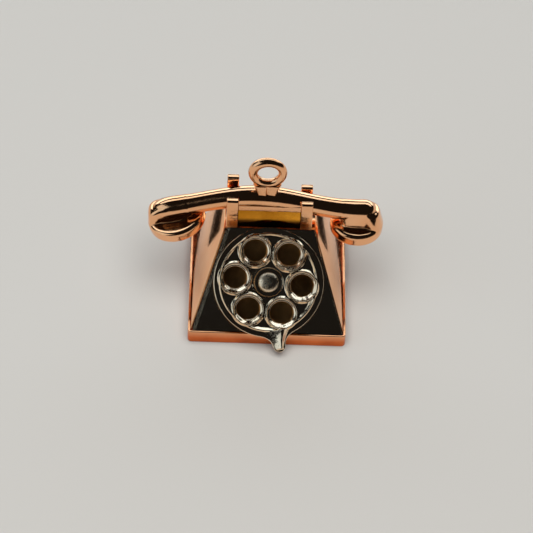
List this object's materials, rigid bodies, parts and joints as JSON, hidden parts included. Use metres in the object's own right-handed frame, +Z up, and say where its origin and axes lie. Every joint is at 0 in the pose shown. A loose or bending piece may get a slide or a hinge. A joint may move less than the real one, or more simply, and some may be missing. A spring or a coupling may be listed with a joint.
{
  "type": "rotary telephone charm",
  "caption": "Polished gold charm shaped like a rotary telephone: a turning finger wheel with a tab, a handset fixed in its cradle and a ring on top to hang it by.",
  "frame": {"origin": "centre of the flat underside that the charm stands on", "axes": "+X to the right as the dial is faced, along the handset; +Y to the back, away from the dial; +Z up towards the hanging ring"},
  "size_m": [0.0241, 0.0177, 0.0167],
  "materials": {
    "body_gold": "polished rose gold",
    "dial_gold": "polished gold",
    "handset_gold": "polished rose gold",
    "bail_gold": "polished rose gold",
    "inner_gold": "unpolished gold"
  },
  "bodies": {
    "charm_body": {"plinth_frame": "body_gold", "base_plate": "body_gold", "front_panel": "body_gold", "left_side_panel": "body_gold", "right_side_panel": "body_gold", "back_panel": "body_gold", "top_plate": "body_gold", "cradle_neck": "body_gold", "left_cradle_fork": "body_gold", "right_cradle_fork": "body_gold", "handset_bar": "handset_gold", "earpiece_cup": "handset_gold", "mouthpiece_cup": "handset_gold", "earpiece_cap": "handset_gold", "mouthpiece_cap": "handset_gold", "bail_collar": "bail_gold", "bail_ring": "bail_gold", "dial_backing_disc": "inner_gold", "dial_spacer": "inner_gold", "dial_rivet": "dial_gold", "rivet_washer": "inner_gold"},
    "dial": {"finger_wheel": "dial_gold"}
  },
  "joints": [
    {"name": "dial_turn", "type": "hinge", "parent": "charm_body", "child": "dial", "pos_m": [0, -0.00379, 0.00477], "axis": [0, -0.6428, 0.766], "range_deg": [-150, 127]}
  ]
}
